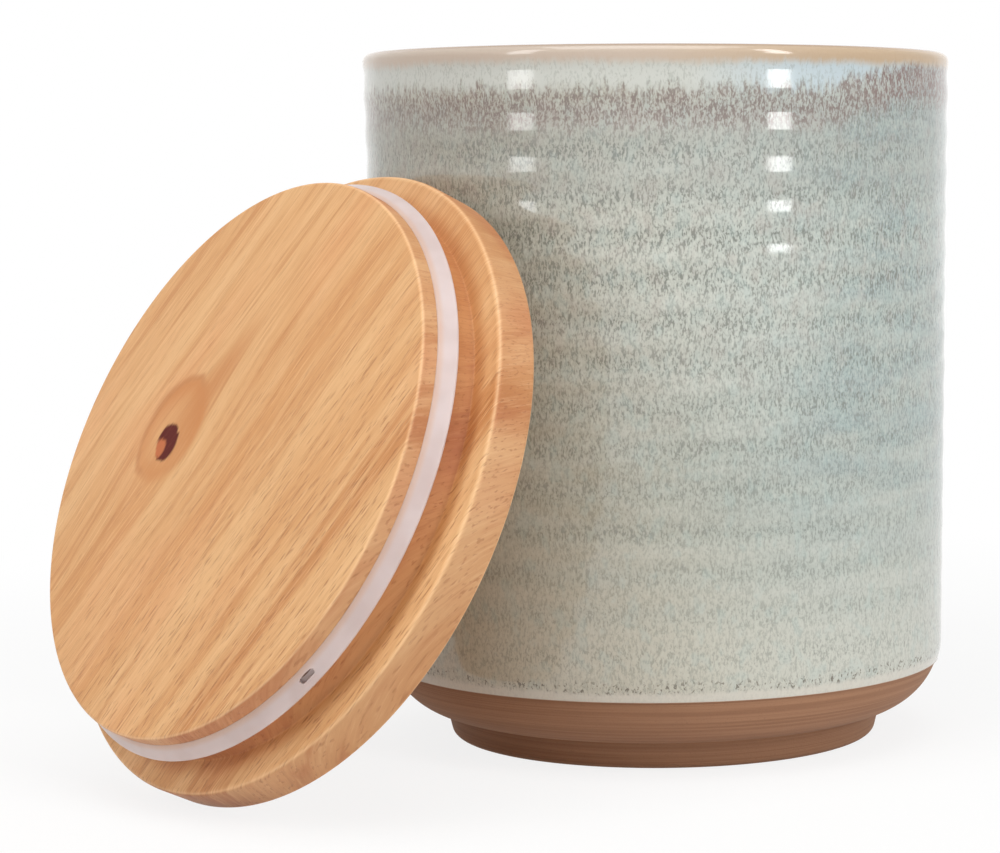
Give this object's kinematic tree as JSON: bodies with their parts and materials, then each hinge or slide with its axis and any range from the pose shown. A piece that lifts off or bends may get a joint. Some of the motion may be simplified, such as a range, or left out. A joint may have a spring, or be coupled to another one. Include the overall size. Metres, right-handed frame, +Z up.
{
  "type": "storage jar",
  "caption": "Round glazed stoneware storage jar on a bare clay foot, its turned wooden lid with a silicone seal taken off and leaning against its side.",
  "frame": {"origin": "centre of the jar's foot, on the table", "axes": "+Z up along the jar's axis; the lid leans on the jar's wall at 219.3 degrees about +Z from +X, so the viewer at -Y sees it at the left front"},
  "size_m": [0.2113, 0.201, 0.165],
  "materials": {
    "stoneware": "satin",
    "lid_wood": "oiled",
    "silicone": "matt, translucent"
  },
  "bodies": {
    "jar": {"jar_body": "stoneware"},
    "lid": {"wood_lid": "lid_wood", "seal_ring": "silicone"}
  },
  "joints": [
    {"name": "lid_lift", "type": "slide", "parent": "jar", "child": "lid", "axis": [-0.1077, -0.0882, 0.9903], "range_m": [0, 0.2]}
  ]
}
